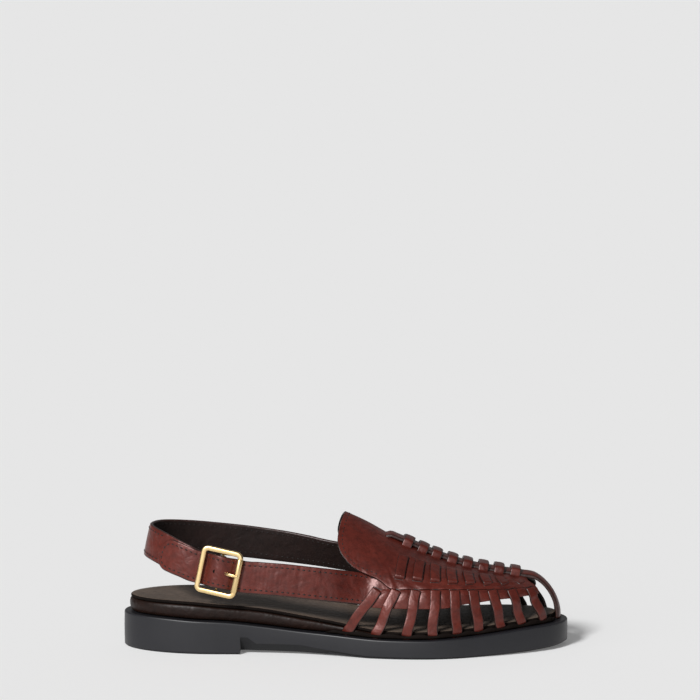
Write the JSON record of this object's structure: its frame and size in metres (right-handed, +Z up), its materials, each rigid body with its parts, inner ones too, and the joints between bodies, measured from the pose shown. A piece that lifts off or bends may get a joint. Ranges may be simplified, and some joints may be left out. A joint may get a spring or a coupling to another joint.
{
  "type": "slingback loafer",
  "caption": "Right-foot slingback loafer: woven leather vamp of raised strips with open gaps, buckled heel strap, and a low rubber sole with a stacked heel.",
  "frame": {"origin": "on the ground plane, at the middle of the overall length and width", "axes": "+X from heel to toe, +Y to the inner side of the foot, +Z up"},
  "size_m": [0.265, 0.0948, 0.0799],
  "materials": {
    "black_rubber": "satin charcoal-black moulded rubber",
    "dark_brown_leather": "smooth dark brown wrap",
    "dark_sock_leather": "matte dark olive-brown lining leather",
    "burgundy_leather": "polished burgundy-brown leather",
    "pale_brass": "polished pale gold"
  },
  "bodies": {
    "root": {"outsole": "black_rubber", "midsole": "dark_brown_leather", "insole": "dark_sock_leather", "upper": "burgundy_leather", "strap_front": "burgundy_leather", "strap_back": "burgundy_leather", "buckle_frame": "pale_brass", "buckle_roller": "pale_brass", "buckle_prong": "pale_brass"}
  },
  "joints": []
}
